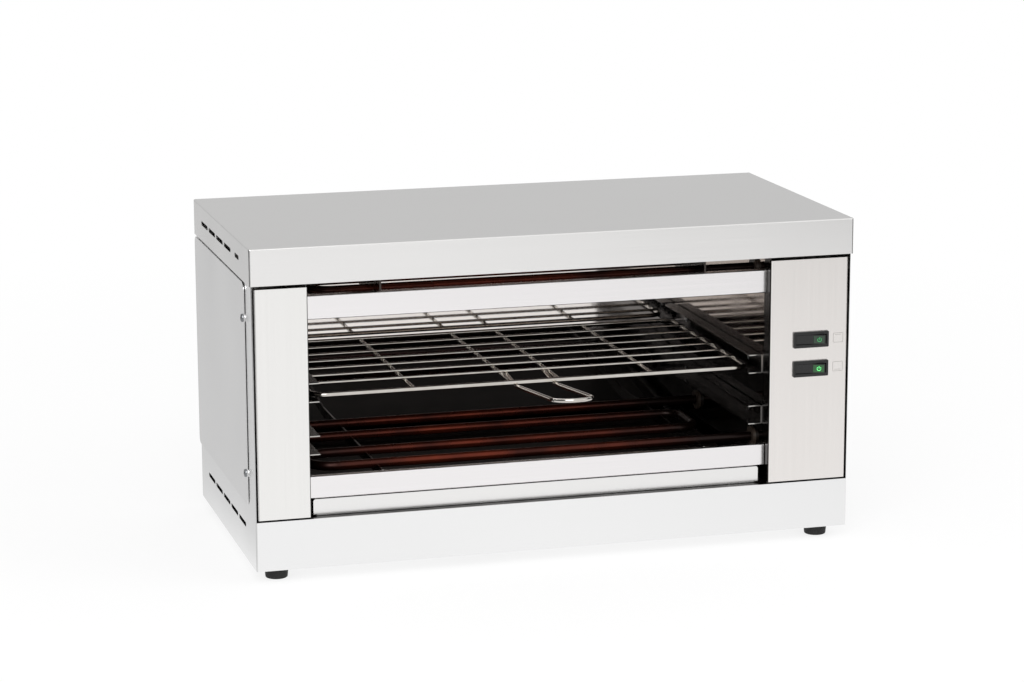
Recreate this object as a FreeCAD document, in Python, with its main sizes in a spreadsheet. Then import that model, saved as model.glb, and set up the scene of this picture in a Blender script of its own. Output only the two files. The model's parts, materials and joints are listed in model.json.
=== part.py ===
import FreeCAD, Part
import math
import os
import Sketcher

# Commercial toaster, free-standing: a folded steel case round a polished chamber that is open at
# the front, with a wire rack in rails, a heater above it and one below, a crumb tray and two
# rocker switches. X runs to the right, Y to the back and Z up, with the origin on the table,
# under the middle of the whole outline. All sizes are in millimetres.

doc = FreeCAD.newDocument("toaster")

sizes = {
    # case
    "case_width": 525.0,
    "case_depth": 260.0,
    "case_height": 272.0,
    "base_height": 42.0,
    "lid_height": 31.0,
    "gauge": 0.8,
    "bend": 1.4,
    "lid_edge": 1.2,
    "reveal": 1.4,
    "slip": 0.2,
    "overshoot": 1.0,
    "upper_shadow_gap": 3.0,
    "lower_shadow_gap": 1.6,
    "pillar_width": 48.5,
    "panel_width": 74.5,
    "pillar_lip": 2.4,
    "pillar_return": 14.0,
    "side_gap": 1.5,
    # feet
    "foot_height": 11.0,
    "foot_diameter": 20.6,
    "foot_taper": 1.0,
    "foot_inset_side": 22.0,
    "foot_inset_front": 22.0,
    "foot_bore": 5.0,
    "foot_counterbore": 10.0,
    "foot_floor": 4.0,
    # side covers and rear panel
    "cover_front": 28.0,
    "cover_hook": 5.0,
    "cover_bottom": 8.0,
    "cover_top_gap": 2.0,
    "cover_corner": 6.0,
    "cover_standoff": 0.5,
    "cover_boss": 10.0,
    "window_margin": 16.0,
    "cover_screw_inset": 6.0,
    "cover_screw_rise": 27.0,
    "cover_screw_drop": 30.0,
    "rear_panel_gap": 6.0,
    "rear_screw_inset": 7.0,
    # ventilation slots
    "slot_length": 31.0,
    "slot_short": 18.0,
    "slot_width": 3.8,
    "slot_round": 1.8,
    "slot_pitch": 36.3,
    "slot_front": 45.0,
    "lid_slot_drop": 15.0,
    "lid_lap": 12.0,
    "lid_screw_inset": 81.1,
    "base_slot_rise": 29.0,
    "back_slot_pitch": 12.0,
    "back_slot_length": 30.0,
    "back_slot_rise": 30.0,
    "back_slot_drop": 42.0,
    # front bars and crumb tray
    "bar_recess": 10.0,
    "bar_return": 8.0,
    "bar_end_gap": 0.6,
    "bar_end_notch": 4.0,
    "upper_bar_drop": 12.0,
    "upper_bar_height": 20.0,
    "tray_height": 13.0,
    "tray_gap": 0.4,
    "tray_plate_rise": 1.0,
    "tray_left_gap": 3.5,
    "tray_right_gap": 6.0,
    "tray_inset": 3.0,
    "tray_rear_gap": 9.0,
    "tray_corner": 2.0,
    "tray_pan_height": 10.0,
    "strip_height": 19.0,
    "strip_return": 6.0,
    "runner_height": 9.0,
    # toasting chamber
    "chamber_rear_gap": 8.0,
    "chamber_front": 16.0,
    "wall_flange": 10.0,
    "rear_flange": 5.0,
    "ceiling_drop": 1.0,
    "ceiling_upstand": 8.0,
    # rails
    "rail_height": 16.5,
    "rail_flange": 12.0,
    "rail_front": 19.0,
    "rail_rear_gap": 5.0,
    "upper_rail_rise": 94.8,
    "rail_pitch": 45.0,
    "rivet_head": 5.0,
    "rivet_shank": 3.0,
    "rivet_head_height": 1.0,
    "rivet_inset": 30.0,
    # wire rack
    "rack_clearance": 0.3,
    "rack_side_gap": 7.0,
    "rack_front": 31.5,
    "rack_rear_gap": 12.5,
    "rack_corner": 12.0,
    "frame_wire": 4.0,
    "cross_wire": 2.5,
    "long_wire": 3.5,
    "weld_sink": 0.3,
    "cross_first": 32.5,
    "cross_last": 11.7,
    "long_left": 20.0,
    "long_right": 22.0,
    "long_edge": 89.0,
    "handle_wire": 3.5,
    "handle_half_width": 17.0,
    "handle_bend": 16.7,
    "handle_offset": 1.2,
    "handle_reach": 122.0,
    "handle_rise_angle": 6.6,
    "handle_leg_length": 36.0,
    "handle_leg_angle": 6.5,
    # heating elements
    "tube": 8.0,
    "tube_front": 40.0,
    "outer_leg_pitch": 45.0,
    "inner_leg_pitch": 56.0,
    "tube_bend": 21.0,
    "hairpin_bend": 16.0,
    "tube_left_gap": 5.0,
    "hairpin_gap": 32.0,
    "lower_tube_rise": 34.0,
    "upper_tube_drop": 13.6,
    "cold_end": 22.0,
    "bush_diameter": 14.0,
    "bush_length": 12.0,
    "bush_head": 18.0,
    "bush_head_length": 2.5,
    "stud_diameter": 4.0,
    "stud_length": 10.0,
    "bracket_gauge": 1.5,
    "bracket_depth": 9.0,
    "bracket_right_gap": 54.0,
    "bracket_left_gap": 64.0,
    "saddle_clearance": 0.1,
    "hanger_setback": 2.0,
    "hanger_drop": 6.5,
    # switches
    "switch_from_right": 37.0,
    "upper_switch_rise": 125.8,
    "switch_pitch": 25.5,
    "bezel_width": 32.0,
    "bezel_height": 14.0,
    "bezel_proud": 1.8,
    "bezel_round": 1.0,
    "cutout_width": 30.0,
    "cutout_height": 11.0,
    "switch_depth": 22.0,
    "window_width": 28.0,
    "rocker_width": 26.0,
    "rocker_height": 8.0,
    "rocker_side_gap": 0.3,
    "rocker_pocket": 13.0,
    "pivot_depth": 4.5,
    "rocker_end_proud": 1.0,
    "rocker_middle_sink": 0.6,
    "rocker_skirt": 3.2,
    "rocker_shoulder": 1.6,
    "rocker_skirt_half": 6.0,
    "rocker_tilt": 9.0,
    "trunnion_diameter": 3.0,
    "trunnion_length": 0.6,
    "trunnion_clearance": 0.05,
    "lens_inner": 2.6,
    "lens_outer": 1.0,
    "lens_depth": 1.6,
    "lens_height": 6.4,
    "lens_proud": 0.2,
    "blade_width": 4.8,
    "blade_gauge": 0.8,
    "blade_length": 8.0,
    "blade_pitch": 8.0,
    # electrical inlet
    "gland_across": 22.0,
    "gland_thread": 16.0,
    "gland_bore": 8.4,
    "gland_reach": 18.0,
    "gland_hex": 6.0,
    "gland_thread_length": 12.0,
    "gland_nut_length": 4.0,
    "gland_in_from_right": 38.0,
    "gland_rise": 40.0,
    "block_length": 36.0,
    "block_width": 18.0,
    "block_height": 20.0,
    "block_pitch": 11.0,
    "block_setback": 14.0,
    # small fasteners
    "screw_head": 7.0,
    "screw_head_height": 1.4,
    "screw_shank": 3.5,
    "screw_length": 8.0,
    "foot_screw_head": 8.5,
    "foot_screw_head_height": 2.5,
    "foot_nut": 8.0,
    "foot_nut_height": 3.2,
    "thread_end": 1.0,
}


class Size:
    # a length with its value and the sheet formula that ties it to the driving sizes
    def __init__(self, value, formula):
        self.value = value
        self.formula = formula

    def __add__(self, other):
        other = as_size(other)
        return Size(self.value + other.value, f"({self.formula} + {other.formula})")

    def __radd__(self, other):
        return as_size(other) + self

    def __sub__(self, other):
        other = as_size(other)
        return Size(self.value - other.value, f"({self.formula} - {other.formula})")

    def __rsub__(self, other):
        return as_size(other) - self

    def __mul__(self, other):
        other = as_size(other)
        return Size(self.value * other.value, f"({self.formula} * {other.formula})")

    def __rmul__(self, other):
        return as_size(other) * self

    def __truediv__(self, other):
        other = as_size(other)
        return Size(self.value / other.value, f"({self.formula} / {other.formula})")

    def __neg__(self):
        return Size(-self.value, f"(0 - {self.formula})")


def cosine(angle):
    return Size(math.cos(math.radians(angle.value)), f"cos({angle.formula})")


def as_size(number):
    if isinstance(number, Size):
        return number
    return Size(float(number), f"({float(number)})")


def driving_sheet():
    sheet = doc.addObject("Spreadsheet::Sheet", "sizes")
    for row, (name, value) in enumerate(sizes.items(), start=1):
        sheet.set(f"A{row}", name.replace("_", " "))
        sheet.set(f"B{row}", str(value))
        sheet.setAlias(f"B{row}", name)
    doc.recompute()


driving_sheet()


class Drawing:
    # the driving sizes by name, each tied to its cell of the sheet
    def __getattr__(self, name):
        return Size(sizes[name], f"sizes.{name}")


d = Drawing()

nodes = []


def tie(thing, path, size):
    thing.setExpression(path, as_size(size).formula)


def keep(thing, label):
    thing.Label = label
    nodes.append(thing)
    return thing


def sketch_on(body, role, height):
    plane = [f for f in body.Origin.OriginFeatures if f.Role == role][0]
    sketch = body.newObject("Sketcher::SketchObject", "sketch")
    sketch.AttachmentSupport = [(plane, "")]
    sketch.MapMode = "FlatFace"
    tie(sketch, "AttachmentOffset.Base.z", height)
    return sketch


def pin_point(sketch, geometry, end, x, y):
    # holds a point of the sketch at two tied coordinates
    for kind, size in (("DistanceX", x), ("DistanceY", y)):
        row = sketch.addConstraint(Sketcher.Constraint(kind, -1, 1, geometry, end, as_size(size).value))
        tie(sketch, f"Constraints[{row}]", size)


def unit(a, b):
    run = math.hypot(b[0] - a[0], b[1] - a[1])
    return ((b[0] - a[0]) / run, (b[1] - a[1]) / run)


def draw_outline(sketch, corners, closed=True):
    # lines through the corners (x, y, radius); a rounded corner joins two legs along X or Y
    count = len(corners)
    spot = [(as_size(x).value, as_size(y).value) for x, y, radius in corners]
    into, out = [], []
    for i, (x, y, radius) in enumerate(corners):
        if radius == 0 or (not closed and i in (0, count - 1)):
            into.append((x, y))
            out.append((x, y))
            continue
        before = unit(spot[i - 1], spot[i])
        after = unit(spot[i], spot[(i + 1) % count])
        into.append((x - radius * round(before[0]), y - radius * round(before[1])))
        out.append((x + radius * round(after[0]), y + radius * round(after[1])))
    lines = []
    for i in range(count if closed else count - 1):
        a = out[i]
        b = into[(i + 1) % count]
        start = FreeCAD.Vector(as_size(a[0]).value, as_size(a[1]).value, 0)
        end = FreeCAD.Vector(as_size(b[0]).value, as_size(b[1]).value, 0)
        lines.append(sketch.addGeometry(Part.LineSegment(start, end)))
    for i, line in enumerate(lines):
        pin_point(sketch, line, 1, *out[i])
        follower = (i + 1) % count
        rounded = into[follower] is not out[follower] and corners[follower][2] != 0
        if not closed and i == len(lines) - 1:
            pin_point(sketch, line, 2, *into[follower])
        elif corners[follower][2] == 0:
            sketch.addConstraint(Sketcher.Constraint("Coincident", line, 2, lines[follower], 1))
        elif rounded:
            pin_point(sketch, line, 2, *into[follower])
            round_corner(sketch, line, lines[follower], spot, follower, corners[follower])
    return sketch


def round_corner(sketch, line, next_line, spot, i, corner):
    x, y, radius = corner
    before = unit(spot[i - 1], spot[i])
    after = unit(spot[i], spot[(i + 1) % len(spot)])
    reach = as_size(radius).value
    centre_x = spot[i][0] + reach * (after[0] - before[0])
    centre_y = spot[i][1] + reach * (after[1] - before[1])
    left_turn = before[0] * after[1] - before[1] * after[0] > 0
    first, last = (before, after) if left_turn else (after, before)
    sign = 1 if left_turn else -1
    start = math.atan2(-sign * first[0], sign * first[1])
    end = math.atan2(-sign * last[0], sign * last[1])
    if end < start:
        end += 2 * math.pi
    circle = Part.Circle(FreeCAD.Vector(centre_x, centre_y, 0), FreeCAD.Vector(0, 0, 1), reach)
    arc = sketch.addGeometry(Part.ArcOfCircle(circle, start, end))
    first_line, last_line = (line, next_line) if left_turn else (next_line, line)
    sketch.addConstraint(Sketcher.Constraint("Coincident", arc, 1, first_line, 2 if left_turn else 1))
    sketch.addConstraint(Sketcher.Constraint("Coincident", arc, 2, last_line, 1 if left_turn else 2))
    middle = x + radius * round(after[0] - before[0])
    row = sketch.addConstraint(Sketcher.Constraint("DistanceX", -1, 1, arc, 3, as_size(middle).value))
    tie(sketch, f"Constraints[{row}]", middle)


# each view: its origin plane, and whether the plane's normal runs along its axis
views = {"top": ("XY_Plane", True), "front": ("XZ_Plane", False), "side": ("YZ_Plane", True)}


def prism(name, view, low, length, corners):
    # a body padded along +Z (top), +Y (front) or +X (side), from low, over length
    body = doc.addObject("PartDesign::Body", name)
    role, along = views[view]
    sketch = sketch_on(body, role, low if along else -as_size(low))
    draw_outline(sketch, corners)
    pad = body.newObject("PartDesign::Pad", "pad")
    pad.Profile = sketch
    tie(pad, "Length", length)
    pad.Reversed = not along
    body.Tip = pad
    return body


def square(x0, x1, y0, y1, radius=0):
    return [(x0, y0, radius), (x1, y0, radius), (x1, y1, radius), (x0, y1, radius)]


def fold(points):
    # the section of a folded sheet: its face follows the points, its metal lies to the left
    count = len(points)
    spot = [(as_size(x).value, as_size(y).value) for x, y in points]
    face, behind = [], []
    for i, (x, y) in enumerate(points):
        legs = []
        if i > 0:
            legs.append(unit(spot[i - 1], spot[i]))
        if i < count - 1:
            legs.append(unit(spot[i], spot[i + 1]))
        inward_x = -sum(round(leg[1]) for leg in legs)
        inward_y = sum(round(leg[0]) for leg in legs)
        radii = (0, 0)
        if len(legs) == 2:
            left_turn = legs[0][0] * legs[1][1] - legs[0][1] * legs[1][0] > 0
            radii = (d.bend, d.bend - d.gauge) if left_turn else (d.bend - d.gauge, d.bend)
        face.append((x, y, radii[0]))
        behind.append((x + d.gauge * inward_x, y + d.gauge * inward_y, radii[1]))
    return face + behind[::-1]


def block(name, x0, x1, y0, y1, z0, z1):
    box = doc.addObject("Part::Box", name)
    tie(box, "Length", x1 - x0)
    tie(box, "Width", y1 - y0)
    tie(box, "Height", z1 - z0)
    tie(box, "Placement.Base.x", x0)
    tie(box, "Placement.Base.y", y0)
    tie(box, "Placement.Base.z", z0)
    return box


turns = {"z": FreeCAD.Rotation(), "x": FreeCAD.Rotation(FreeCAD.Vector(0, 1, 0), 90),
         "y": FreeCAD.Rotation(FreeCAD.Vector(1, 0, 0), -90)}


def rod(name, axis, x, y, z, diameter, length):
    # a cylinder that starts at the point and runs along +axis
    cylinder = doc.addObject("Part::Cylinder", name)
    cylinder.Placement = FreeCAD.Placement(FreeCAD.Vector(), turns[axis])
    tie(cylinder, "Radius", diameter / 2)
    tie(cylinder, "Height", length)
    tie(cylinder, "Placement.Base.x", x)
    tie(cylinder, "Placement.Base.y", y)
    tie(cylinder, "Placement.Base.z", z)
    return cylinder


def group(name, members):
    if len(members) == 1:
        return members[0]
    compound = doc.addObject("Part::Compound", name)
    compound.Links = members
    return compound


def join(name, members):
    fuse = doc.addObject("Part::MultiFuse", name)
    fuse.Shapes = members
    return fuse


def cut(name, base, tools):
    carved = doc.addObject("Part::Cut", name)
    carved.Base = base
    carved.Tool = join(name + "_tools", tools) if len(tools) > 1 else tools[0]
    return carved


def pipe(name, height, diameter, corners, closed=False):
    # a round wire or tube along a path in the body's own XY plane, starting along X or Y
    body = doc.addObject("PartDesign::Body", name)
    path = draw_outline(sketch_on(body, "XY_Plane", height), corners, closed)
    start, follower = corners[0], corners[1]
    along_x = abs(as_size(follower[0]).value - as_size(start[0]).value) > 1
    first_x, first_y = start[0], start[1]
    if closed:
        first_x = start[0] + (start[2] if along_x else 0)
        first_y = start[1] + (0 if along_x else start[2])
    role = "YZ_Plane" if along_x else "XZ_Plane"
    section = sketch_on(body, role, first_x if along_x else -as_size(first_y))
    centre = (first_y if along_x else first_x, height)
    radius = (diameter / 2).value
    spot = FreeCAD.Vector(as_size(centre[0]).value, as_size(centre[1]).value, 0)
    ring = section.addGeometry(Part.Circle(spot, FreeCAD.Vector(0, 0, 1), radius))
    pin_point(section, ring, 3, *centre)
    row = section.addConstraint(Sketcher.Constraint("Radius", ring, radius))
    tie(section, f"Constraints[{row}]", diameter / 2)
    sweep = body.newObject("PartDesign::AdditivePipe", "sweep")
    sweep.Profile = section
    sweep.Spine = (path, [])
    body.Tip = sweep
    return body


def row_of(name, body, role, length, count):
    # repeats the body's last feature along one of its axes
    axis = [f for f in body.Origin.OriginFeatures if f.Role == role][0]
    original = body.Tip
    pattern = body.newObject("PartDesign::LinearPattern", name)
    pattern.Originals = [original]
    pattern.Direction = (axis, [""])
    tie(pattern, "Length", length)
    pattern.Occurrences = count
    body.Tip = pattern
    return body


# main planes of the case
handle_overhang = d.handle_reach * cosine(d.handle_rise_angle) + d.handle_wire / 2 - d.rack_front
front = (handle_overhang - d.case_depth - d.gland_reach) / 2
back = front + d.case_depth
floor = d.foot_height
deck = floor + d.base_height
top = floor + d.case_height
lid_bottom = top - d.lid_height
side = d.case_width / 2 - d.reveal
skin_front = front + d.reveal
skin_back = back - d.reveal
chamber_left = d.pillar_width - d.case_width / 2
chamber_right = d.case_width / 2 - d.panel_width
chamber_front = front + d.chamber_front
chamber_back = back - d.chamber_rear_gap
chamber_top = lid_bottom - d.ceiling_drop
bar_face = front + d.bar_recess
cover_low = deck + d.cover_bottom
cover_high = lid_bottom - d.cover_top_gap
cover_start = front + d.cover_front
cover_end = skin_back + d.gauge
hole = d.screw_shank + d.slip
# cutting tools run past the metal at both ends
past = d.overshoot
through_sheet = d.gauge + 2 * past
through_case = 2 * (side + past)
base_slot_count = 5
lid_slot_count = 4
back_slot_count = 9
cross_count = 7


def slots(name, low, length, y, z, slot_length, count):
    # a row of round-ended slots that pass through along X
    half = d.slot_width / 2
    body = prism(name, "side", low, length, square(y, y + slot_length, z - half, z + half, d.slot_round))
    if count > 1:
        row_of("pattern", body, "Y_Axis", (count - 1) * d.slot_pitch, count)
    return body


def side_cover_spots():
    y = cover_start + d.cover_screw_inset
    return [(y, cover_low + d.cover_screw_rise), (y, cover_high - d.cover_screw_drop)]


def rear_screw_spots():
    reach = side - d.rear_panel_gap - d.rear_screw_inset
    low = cover_low + d.rear_screw_inset
    high = cover_high - d.rear_screw_inset
    return [(sign * reach, z) for sign in (-1, 1) for z in (low, (low + high) / 2, high)]


def lid_screw_spots():
    reach = side - d.lid_screw_inset
    return [(step * reach, lid_bottom + d.lid_lap / 2) for step in (-1, 0, 1)]


def foot_spots():
    across = d.case_width / 2 - d.foot_inset_side
    return [("front_left", -across, front + d.foot_inset_front),
            ("front_right", across, front + d.foot_inset_front),
            ("rear_left", -across, back - d.foot_inset_front),
            ("rear_right", across, back - d.foot_inset_front)]


def chassis():
    # base tray and both side frames, folded from one sheet
    height = lid_bottom + d.lid_lap - floor
    outer = prism("chassis_outer", "top", floor, height,
                  square(-side, side, skin_front, skin_back, d.bend))
    inner = prism("chassis_inner", "top", floor + d.gauge, height,
                  square(d.gauge - side, side - d.gauge, skin_front + d.gauge, skin_back - d.gauge,
                         d.bend - d.gauge))
    tools = [inner]
    tools.append(block("chassis_front_opening", d.gauge - side, side - d.gauge, front,
                       skin_front + d.bend, deck, top))
    margin = d.window_margin
    tools.append(block("chassis_side_window", -side - past, side + past, cover_start + margin,
                       cover_end - margin, cover_low + margin, cover_high - margin))
    tools.append(block("chassis_rear_window", margin + d.rear_panel_gap - side,
                       side - margin - d.rear_panel_gap, chamber_back, back,
                       cover_low + margin, cover_high - margin))
    tools.append(slots("base_slots", -side - past, through_case, front + d.slot_front,
                       floor + d.base_slot_rise, d.slot_length, base_slot_count))
    for spot, x, y in foot_spots():
        tools.append(rod("foot_hole", "z", x, y, floor - past, hole, through_sheet))
    for y, z in side_cover_spots():
        tools.append(rod("cover_hole", "x", -side - past, y, z, hole, through_case))
    for x, z in rear_screw_spots():
        tools.append(rod("rear_hole", "y", x, skin_back - d.gauge - past, z, hole, through_sheet))
    for x, z in lid_screw_spots():
        tools.append(rod("lid_hole", "y", x, skin_back - d.gauge - past, z, hole, through_sheet))
    keep(cut("chassis", outer, tools), "chassis")


def base_deck():
    edge = side - d.gauge - d.slip
    drop = deck - d.wall_flange
    section = fold([(edge, drop), (edge, deck), (-edge, deck), (-edge, drop)])
    start = skin_front + d.gauge + d.slip
    length = d.case_depth - 2 * (d.reveal + d.gauge + d.slip)
    keep(prism("base_deck", "front", start, length, section), "base_deck")


def soften_top(body, radius):
    # rounds the edges of the highest face
    doc.recompute()
    solid = body.Tip
    faces = solid.Shape.Faces
    highest = max(range(len(faces)), key=lambda i: faces[i].CenterOfMass.z)
    fillet = body.newObject("PartDesign::Fillet", "top_edges")
    fillet.Base = (solid, [f"Face{highest + 1}"])
    tie(fillet, "Radius", radius)
    body.Tip = fillet
    return body


def top_cover():
    half = d.case_width / 2
    outer = prism("lid_outer", "top", lid_bottom, d.lid_height, square(-half, half, front, back, d.bend))
    soften_top(outer, d.lid_edge)
    inset = half - d.gauge
    inner = prism("lid_inner", "top", lid_bottom - past, d.lid_height - d.gauge + past,
                  square(-inset, inset, front + d.gauge, back - d.gauge, d.bend - d.gauge))
    soften_top(inner, d.lid_edge - d.gauge)
    z = top - d.lid_slot_drop
    through = 2 * (half + past)
    short = slots("lid_first_slot", -half - past, through, front + d.slot_front, z, d.slot_short, 1)
    rest = slots("lid_slots", -half - past, through, front + d.slot_front + d.slot_pitch, z, d.slot_length,
                 lid_slot_count)
    tools = [inner, short, rest]
    for x, z in lid_screw_spots():
        tools.append(rod("lid_hole", "y", x, back - d.gauge - past, z, hole, through_sheet))
    keep(cut("top_cover", outer, tools), "top_cover")


def front_posts():
    # the two front skins stop short of base and lid and stand on the deck with their inner returns
    height = chamber_top - deck
    lip_end = skin_front + d.pillar_lip
    return_end = skin_front + d.pillar_return
    edge = side - d.gauge - d.side_gap
    left = prism("left_post", "top", deck, height,
                 fold([(-edge, lip_end), (-edge, skin_front), (chamber_left, skin_front),
                       (chamber_left, return_end)]))
    right = prism("right_post", "top", deck, height,
                  fold([(chamber_right, return_end), (chamber_right, skin_front), (edge, skin_front),
                        (edge, lip_end)]))
    skin_low = deck + d.lower_shadow_gap
    skin_high = lid_bottom - d.upper_shadow_gap
    deep = lip_end + past
    tools = {"left": [], "right": []}
    for z0, z1 in ((deck - past, skin_low), (skin_high, chamber_top + past)):
        tools["left"].append(block("left_gap", -side, chamber_left + past, front, deep, z0, z1))
        tools["right"].append(block("right_gap", chamber_right - past, side, front, deep, z0, z1))
    for z in switch_heights():
        x0, x1 = switch_x - d.cutout_width / 2, switch_x + d.cutout_width / 2
        z0, z1 = z - d.cutout_height / 2, z + d.cutout_height / 2
        tools["right"].append(block("switch_cutout", x0, x1, front, deep, z0, z1))
    keep(cut("left_front_pillar", left, tools["left"]), "left_front_pillar")
    keep(cut("control_panel", right, tools["right"]), "control_panel")


def side_covers():
    # each plate stands off the case on a pressed boss at its two screws and hooks round the back edge
    reach = d.cover_standoff + d.gauge
    hook_low = cover_low + d.cover_corner
    hook_high = cover_high - d.cover_corner
    for name, start, plate_start, hook_start in (
            ("left_side_cover", -side - reach, -side - reach, -side - reach),
            ("right_side_cover", side, side + d.cover_standoff, side - d.cover_hook)):
        plate = prism(name + "_plate", "side", plate_start, d.gauge,
                      square(cover_start, cover_end, cover_low, cover_high, d.cover_corner))
        hook = block(name + "_hook", hook_start, hook_start + d.cover_hook + reach, skin_back, cover_end,
                     hook_low, hook_high)
        bosses = [rod(name + "_boss", "x", start, y, z, d.cover_boss, reach) for y, z in side_cover_spots()]
        tools = [rod(name + "_hole", "x", start - past, y, z, hole, reach + 2 * past)
                 for y, z in side_cover_spots()]
        keep(cut(name, join(name + "_bent", [plate, hook] + bosses), tools), name)


def rear_panel():
    half = side - d.rear_panel_gap
    plate = prism("rear_plate", "front", skin_back, d.gauge,
                  square(-half, half, cover_low, cover_high, d.cover_corner))
    tools = [rod("rear_panel_hole", "y", x, skin_back - past, z, hole, through_sheet)
             for x, z in rear_screw_spots()]
    tools.append(rod("gland_hole", "y", gland_x, skin_back - past, gland_z, d.gland_thread + d.slip,
                     through_sheet))
    vent_half = d.back_slot_length / 2
    for z in (deck + d.back_slot_rise, cover_high - d.back_slot_drop):
        x = -d.back_slot_pitch * (back_slot_count - 1) / 2
        width = d.slot_width / 2
        vents = prism("rear_vents", "front", skin_back - past, through_sheet,
                      square(x - width, x + width, z - vent_half, z + vent_half, d.slot_round))
        row_of("pattern", vents, "X_Axis", (back_slot_count - 1) * d.back_slot_pitch, back_slot_count)
        tools.append(vents)
    keep(cut("rear_panel", plate, tools), "rear_panel")


def heater_legs():
    # the four straight runs of a heating element, front to back
    first = front + d.tube_front
    second = first + d.outer_leg_pitch
    third = second + d.inner_leg_pitch
    return [first, second, third, third + d.outer_leg_pitch]


def chamber():
    reach = d.wall_flange
    length = chamber_back - chamber_front
    left = prism("cavity_left", "front", chamber_front, length,
                 fold([(chamber_left - reach, deck), (chamber_left, deck), (chamber_left, chamber_top),
                       (chamber_left - reach, chamber_top)]))
    right = prism("cavity_right", "front", chamber_front, length,
                  fold([(chamber_right + reach, chamber_top), (chamber_right, chamber_top),
                        (chamber_right, deck), (chamber_right + reach, deck)]))
    legs = heater_legs()
    tools = {"left": [], "right": []}
    for z in (lower_tube_z, upper_tube_z):
        for y in (legs[0], legs[3]):
            tools["right"].append(rod("bush_hole", "x", chamber_right - past, y, z,
                                      d.bush_diameter + d.slip, through_sheet))
    for y, z in rivet_spots():
        bore = d.rivet_shank + d.slip
        tools["left"].append(rod("rivet_hole", "x", chamber_left - d.gauge - past, y, z, bore,
                                 through_sheet))
        tools["right"].append(rod("rivet_hole", "x", chamber_right - past, y, z, bore, through_sheet))
    keep(cut("cavity_left_wall", left, tools["left"]), "cavity_left_wall")
    keep(cut("cavity_right_wall", right, tools["right"]), "cavity_right_wall")
    rear_reach = d.rear_flange
    back_wall = fold([(chamber_back + rear_reach, chamber_top), (chamber_back, chamber_top),
                      (chamber_back, deck), (chamber_back + rear_reach, deck)])
    keep(prism("cavity_back_wall", "side", chamber_left, chamber_right - chamber_left, back_wall),
         "cavity_back_wall")
    rise = chamber_top + d.ceiling_upstand
    ceiling = fold([(chamber_front, rise), (chamber_front, chamber_top),
                    (chamber_back + rear_reach, chamber_top)])
    keep(prism("cavity_ceiling", "side", chamber_left - reach, chamber_right - chamber_left + 2 * reach,
               ceiling), "cavity_ceiling")


def front_bars():
    # folded channels between the inner returns of the front skins
    for name, z1, height, reach in (("upper_front_bar", lid_bottom - d.upper_bar_drop,
                                     d.upper_bar_height, d.bar_return),
                                    ("lower_front_strip", strip_low + d.strip_height,
                                     d.strip_height, d.strip_return)):
        section = fold([(bar_face + reach, z1), (bar_face, z1), (bar_face, z1 - height),
                        (bar_face + reach, z1 - height)])
        bar = prism(name + "_channel", "side", chamber_left, chamber_right - chamber_left, section)
        ends = [block(name + "_notch", x, x + d.bar_end_gap, bar_face - past, bar_face + d.bar_end_notch,
                      z1 - height - past, z1 + past) for x in (chamber_left, chamber_right - d.bar_end_gap)]
        keep(cut(name, bar, ends), name)


def crumb_tray():
    # a shallow folded pan with a wider front plate
    plate_left = chamber_left + d.tray_left_gap
    plate_right = chamber_right - d.tray_right_gap
    low = deck + d.tray_gap
    plate_low = low + d.tray_plate_rise
    plate_high = plate_low + d.tray_height
    plate = prism("tray_plate", "front", bar_face, d.gauge,
                  [(plate_left, plate_low, 0), (plate_right, plate_low, 0),
                   (plate_right, plate_high, d.tray_corner), (plate_left, plate_high, d.tray_corner)])
    x0, x1 = plate_left + d.tray_inset, plate_right - d.tray_inset
    y0, y1 = bar_face + d.gauge / 2, chamber_back - d.tray_rear_gap
    wall = d.gauge
    outer = prism("tray_outer", "top", low, d.tray_pan_height, square(x0, x1, y0, y1))
    inner = prism("tray_inner", "top", low + wall, d.tray_pan_height,
                  square(x0 + wall, x1 - wall, y0 + wall, y1 - wall))
    pan = cut("tray_pan", outer, [inner])
    keep(join("crumb_tray", [plate, pan]), "crumb_tray")
    face = x0 - 2 * d.slip
    length = chamber_back - chamber_front
    high = deck + d.runner_height
    left = fold([(chamber_left, deck), (face, deck), (face, high)])
    keep(prism("left_tray_runner", "front", chamber_front, length, left), "left_tray_runner")
    face = x1 + 2 * d.slip
    right = fold([(face, high), (face, deck), (chamber_right, deck)])
    keep(prism("right_tray_runner", "front", chamber_front, length, right), "right_tray_runner")


def rivet_spots():
    y0 = rail_start + d.rivet_inset
    y1 = rail_end - d.rivet_inset
    return [(y, low + d.rail_height / 2) for low in (upper_rail, lower_rail) for y in (y0, y1)]


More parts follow.
